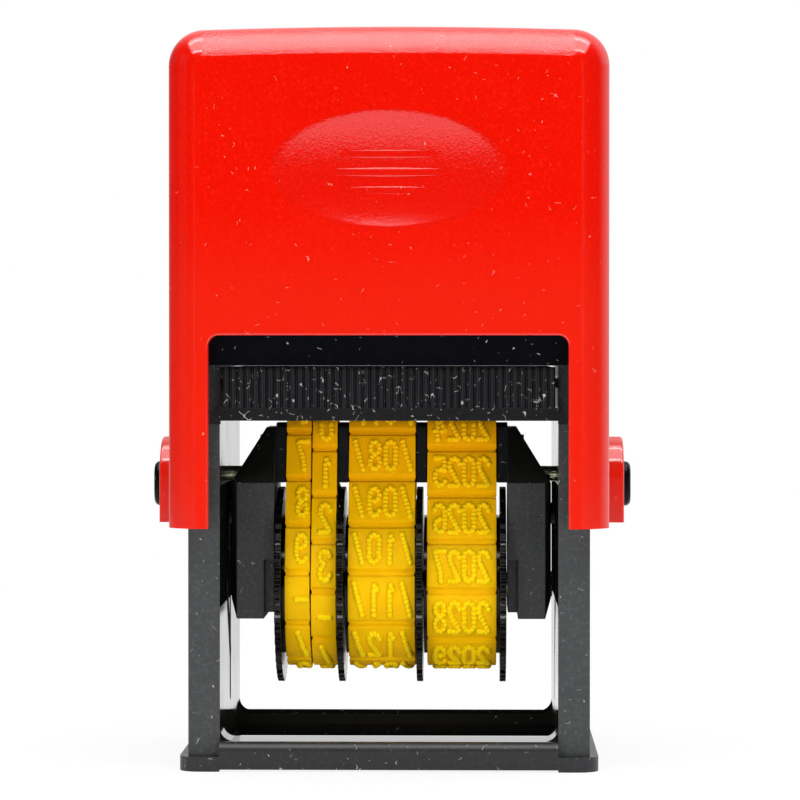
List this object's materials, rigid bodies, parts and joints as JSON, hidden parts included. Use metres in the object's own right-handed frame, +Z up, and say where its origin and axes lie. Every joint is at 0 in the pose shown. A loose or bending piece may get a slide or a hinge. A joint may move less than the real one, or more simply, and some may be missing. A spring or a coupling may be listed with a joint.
{
  "type": "self-inking date stamp",
  "caption": "Self-inking date stamp: press-down cover, print head that turns over, rubber date bands on thumbwheels, pull-out ink tray and return spring.",
  "frame": {"origin": "centre of the base on the table", "axes": "+Z up, -Y towards the user (the side the ink tray pulls out of), +X to the user's right"},
  "size_m": [0.0578, 0.0422, 0.0865],
  "materials": {
    "red_plastic": "fine texture, glossier sides",
    "black_plastic": "moulded, satin to gloss",
    "wheel_plastic": "moulded",
    "yellow_rubber": "matte rubber",
    "ink_felt": "ink-soaked felt",
    "steel": "drawn wire and rod"
  },
  "bodies": {
    "frame_body": {"frame": "black_plastic", "base_ring": "black_plastic", "return_spring": "steel"},
    "cover_body": {"cover": "red_plastic", "pivot_rod": "steel", "rod_cap_left": "black_plastic", "rod_cap_right": "black_plastic"},
    "head": {"left_cheek": "black_plastic", "right_cheek": "black_plastic", "platen": "black_plastic", "wheel_shaft": "steel", "units_band": "yellow_rubber", "tens_band": "yellow_rubber", "month_band": "yellow_rubber", "year_band": "yellow_rubber"},
    "tray": {"ink_tray": "black_plastic", "ink_pad": "ink_felt"},
    "units": {"units_wheel": "wheel_plastic"},
    "tens": {"tens_wheel": "wheel_plastic"},
    "month": {"month_wheel": "wheel_plastic"},
    "year": {"year_wheel": "wheel_plastic"}
  },
  "joints": [
    {"name": "press", "type": "slide", "parent": "frame_body", "child": "cover_body", "axis": [0, 0, -1], "range_m": [0, 0.0262], "stiffness_N_per_m": 400, "springref_m": -0.015, "deforming": ["return_spring"]},
    {"name": "head_flip", "type": "hinge", "parent": "cover_body", "child": "head", "pos_m": [0, 0, 0.034], "axis": [-1, 0, 0], "range_deg": [0, 180]},
    {"name": "units_turn", "type": "hinge", "parent": "head", "child": "units", "pos_m": [0, 0, 0.0206], "axis": [1, 0, 0], "continuous": true},
    {"name": "tens_turn", "type": "hinge", "parent": "head", "child": "tens", "pos_m": [0, 0, 0.0206], "axis": [1, 0, 0], "continuous": true},
    {"name": "month_turn", "type": "hinge", "parent": "head", "child": "month", "pos_m": [0, 0, 0.0206], "axis": [1, 0, 0], "continuous": true},
    {"name": "year_turn", "type": "hinge", "parent": "head", "child": "year", "pos_m": [0, 0, 0.0206], "axis": [1, 0, 0], "continuous": true},
    {"name": "tray_pull", "type": "slide", "parent": "frame_body", "child": "tray", "axis": [0, 1, 0], "range_m": [-0.035, 0]}
  ],
  "couplings": [
    {"joint": "head_flip", "follows": "press", "rad_per_m": 119.9}
  ]
}
